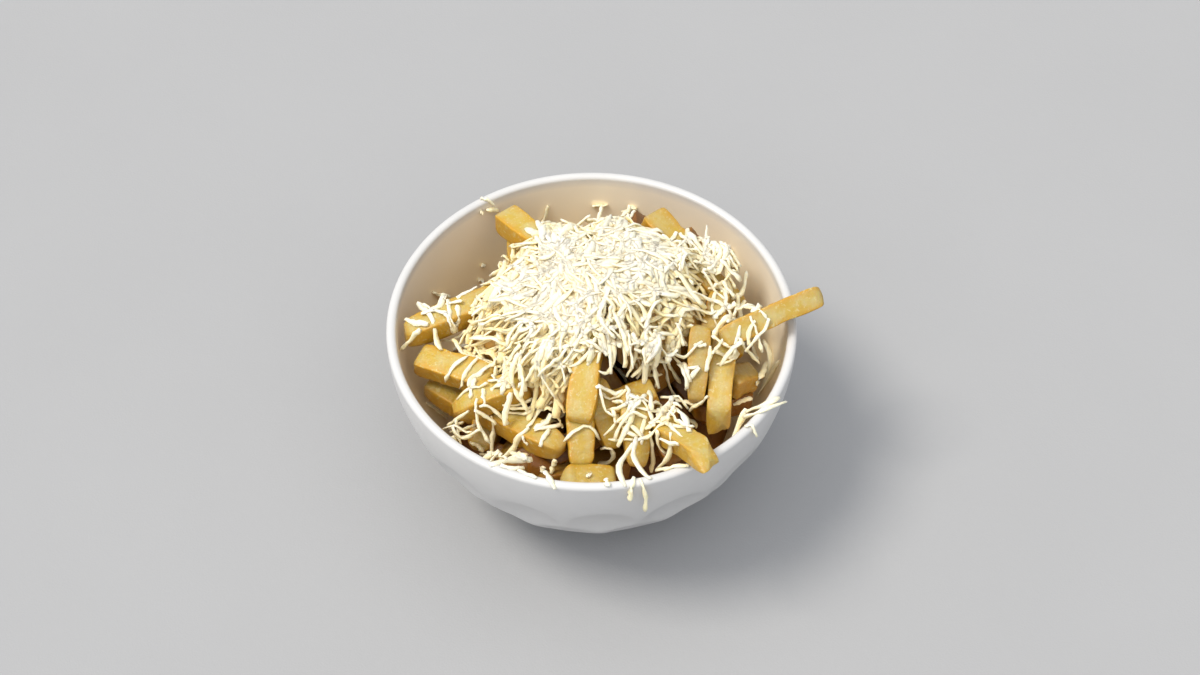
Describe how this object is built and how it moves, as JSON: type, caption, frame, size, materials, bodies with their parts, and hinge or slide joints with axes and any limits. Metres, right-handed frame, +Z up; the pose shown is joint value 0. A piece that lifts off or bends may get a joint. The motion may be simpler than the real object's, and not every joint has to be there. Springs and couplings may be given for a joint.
{
  "type": "bowl of french fries with grated cheese",
  "caption": "Portion of thick-cut french fries in a round dimpled ceramic bowl, heaped with coarsely grated white cheese.",
  "frame": {"origin": "centre of the bowl's flat base, on the surface it stands on", "axes": "+Z up; the side the fries show best faces -Y; +X to the right, where one fry sticks out over the rim"},
  "size_m": [0.1447, 0.135, 0.0836],
  "materials": {
    "bowl_glaze": "glossy off-white glaze",
    "fried_potato": "golden fried crust, lightly oiled",
    "white_cheese": "moist creamy white cheese"
  },
  "bodies": {
    "root": {"bowl": "bowl_glaze", "fries": "fried_potato", "grated_cheese": "white_cheese"}
  },
  "joints": []
}
